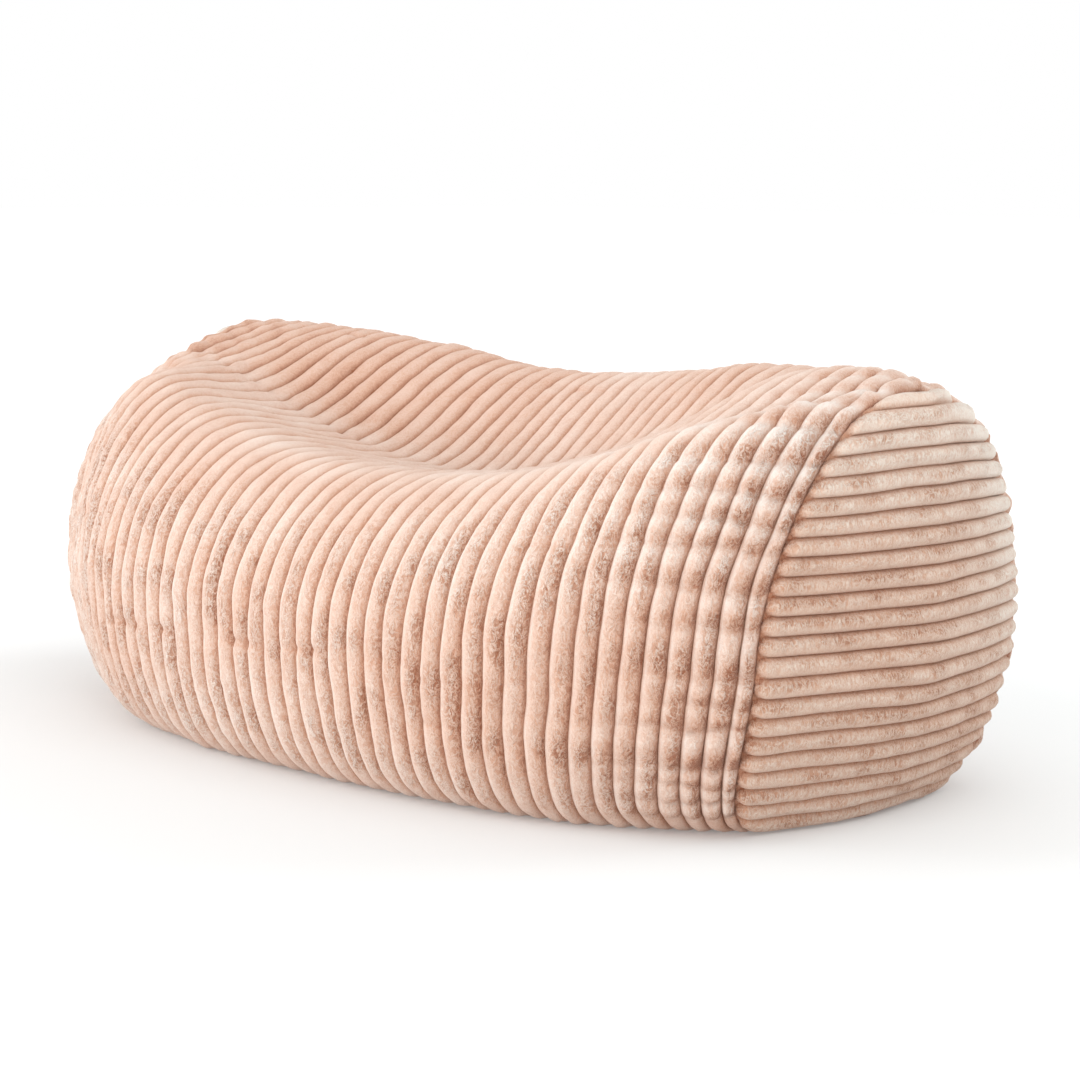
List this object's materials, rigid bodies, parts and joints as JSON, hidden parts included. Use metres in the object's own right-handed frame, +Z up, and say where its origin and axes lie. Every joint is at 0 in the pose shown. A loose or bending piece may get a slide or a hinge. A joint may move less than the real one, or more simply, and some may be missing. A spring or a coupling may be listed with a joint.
{
  "type": "floor pouf",
  "caption": "Long soft floor pouf: a filled body in ribbed plush with a saddle dip along its top and a domed, cross-ribbed panel sewn into each end.",
  "frame": {"origin": "centre of the pouf's outer box at floor level", "axes": "+X along the pouf to its right end, -Y the front, where the crest is low and looks to the viewer, +Z up"},
  "size_m": [1.2135, 0.64, 0.429],
  "materials": {
    "wrap_plush": "wide-ribbed plush, matt with a soft nap",
    "end_plush": "wide-ribbed plush with level ribs, matt with a soft nap"
  },
  "bodies": {
    "root": {"wrap": "wrap_plush", "end_panel_left": "end_plush", "end_panel_right": "end_plush"}
  },
  "joints": []
}
